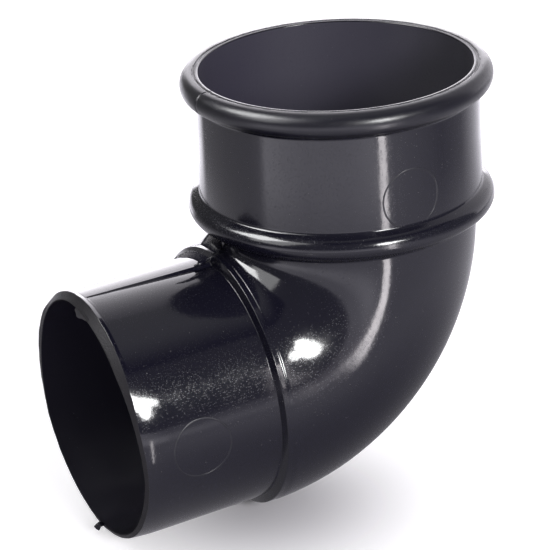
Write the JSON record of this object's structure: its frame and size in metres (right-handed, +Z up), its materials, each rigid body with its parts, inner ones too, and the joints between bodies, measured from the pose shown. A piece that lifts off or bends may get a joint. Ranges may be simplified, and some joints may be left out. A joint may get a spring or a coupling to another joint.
{
  "type": "downpipe offset bend",
  "caption": "Moulded offset bend for a round downpipe: a beaded socket on top, a tight elbow and a smaller spigot at the side.",
  "frame": {"origin": "centre of the pipe stop, the ledge at the bottom of the socket", "axes": "+Z up the socket's axis and out of its mouth, the spigot points towards -X, the bend lies in the XZ plane"},
  "size_m": [0.1146, 0.0782, 0.1104],
  "materials": {
    "black_plastic": "gloss moulded black plastic"
  },
  "bodies": {
    "root": {"bend_body": "black_plastic"}
  },
  "joints": []
}
